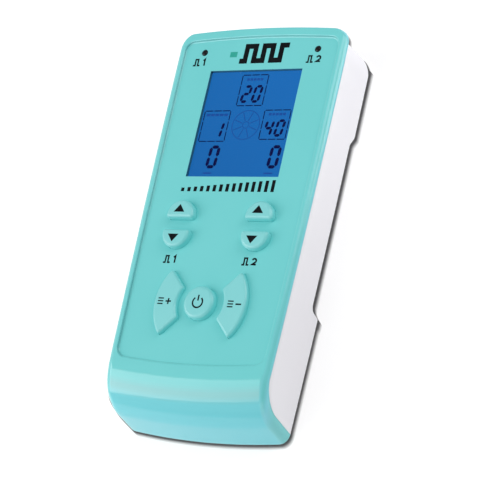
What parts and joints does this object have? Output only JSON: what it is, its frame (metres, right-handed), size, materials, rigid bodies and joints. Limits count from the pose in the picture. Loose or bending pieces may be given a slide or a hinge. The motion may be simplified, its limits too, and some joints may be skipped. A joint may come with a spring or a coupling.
{
  "type": "nerve stimulator control unit",
  "caption": "Hand-held battery TENS unit with a sunken teal front panel, backlit display, push keys, hooded bottom end and a sliding battery door.",
  "frame": {"origin": "middle of the width and length, on the lowest plane of the back, with the unit lying on its back", "axes": "+X to the unit's right seen from the front, +Y towards the top end with the sockets, +Z out of the front face"},
  "size_m": [0.0668, 0.1403, 0.023],
  "materials": {
    "teal_plastic": "satin moulded plastic",
    "white_plastic": "satin moulded plastic",
    "door_plastic": "satin moulded plastic",
    "key_plastic": "soft-touch moulded plastic",
    "window": "clear polished plastic",
    "lcd_blue": "polished glass",
    "diffuser": "milky plastic",
    "frame_plastic": "matte moulded plastic",
    "elastomer": "matte silicone",
    "board": "satin solder mask",
    "black_plastic": "matte moulded plastic",
    "dome_steel": "bright sheet steel",
    "led_lens": "dark tinted lens",
    "socket_plastic": "matte moulded plastic",
    "cell_can": "printed sleeve on a metal can",
    "spring_steel": "nickel plated",
    "lead_red": "insulation",
    "lead_black": "insulation",
    "screw_steel": "zinc plated",
    "ferrite": "sintered ferrite",
    "capacitor_can": "sleeved can",
    "chip": "moulded epoxy",
    "crystal_can": "pressed can",
    "link_copper": "bare strip",
    "label_film": "matte film"
  },
  "bodies": {
    "housing": {"front_shell": "teal_plastic", "rear_shell": "white_plastic", "display_window": "window", "lcd_glass": "lcd_blue", "lcd_backlight": "diffuser", "lcd_frame": "frame_plastic", "lcd_connector": "elastomer", "main_board": "board", "key_board": "board", "board_header": "black_plastic", "snap_domes": "dome_steel", "led_left": "led_lens", "led_right": "led_lens", "output_socket_left": "socket_plastic", "output_socket_right": "socket_plastic", "charger_socket": "socket_plastic", "cell_upper": "cell_can", "cell_middle": "cell_can", "cell_lower": "cell_can", "cell_springs": "spring_steel", "cell_contacts": "spring_steel", "supply_lead_positive": "lead_red", "supply_lead_negative": "lead_black", "case_screws": "screw_steel", "main_board_screws": "screw_steel", "key_board_screws": "screw_steel", "pulse_transformers": "ferrite", "storage_capacitors": "capacitor_can", "processor": "chip", "output_driver": "chip", "crystal": "crystal_can", "sounder": "black_plastic", "cell_ribbon": "link_copper", "rating_label": "label_film"},
    "battery_door": {"battery_door": "door_plastic"},
    "key_up_left": {"key_up_left": "key_plastic"},
    "key_down_left": {"key_down_left": "key_plastic"},
    "key_up_right": {"key_up_right": "key_plastic"},
    "key_down_right": {"key_down_right": "key_plastic"},
    "key_power": {"key_power": "key_plastic"},
    "key_program_left": {"key_program_left": "key_plastic"},
    "key_program_right": {"key_program_right": "key_plastic"}
  },
  "joints": [
    {"name": "battery_door_slide", "type": "slide", "parent": "housing", "child": "battery_door", "axis": [0, 1, 0], "range_m": [0, 0.038]},
    {"name": "key_up_left_press", "type": "slide", "parent": "housing", "child": "key_up_left", "axis": [0, 0, -1], "range_m": [0, 0.0008], "stiffness_N_per_m": 300},
    {"name": "key_down_left_press", "type": "slide", "parent": "housing", "child": "key_down_left", "axis": [0, 0, -1], "range_m": [0, 0.0008], "stiffness_N_per_m": 300},
    {"name": "key_up_right_press", "type": "slide", "parent": "housing", "child": "key_up_right", "axis": [0, 0, -1], "range_m": [0, 0.0008], "stiffness_N_per_m": 300},
    {"name": "key_down_right_press", "type": "slide", "parent": "housing", "child": "key_down_right", "axis": [0, 0, -1], "range_m": [0, 0.0008], "stiffness_N_per_m": 300},
    {"name": "key_power_press", "type": "slide", "parent": "housing", "child": "key_power", "axis": [0, 0, -1], "range_m": [0, 0.0008], "stiffness_N_per_m": 300},
    {"name": "key_program_left_press", "type": "slide", "parent": "housing", "child": "key_program_left", "axis": [0, 0, -1], "range_m": [0, 0.0008], "stiffness_N_per_m": 300},
    {"name": "key_program_right_press", "type": "slide", "parent": "housing", "child": "key_program_right", "axis": [0, 0, -1], "range_m": [0, 0.0008], "stiffness_N_per_m": 300}
  ]
}
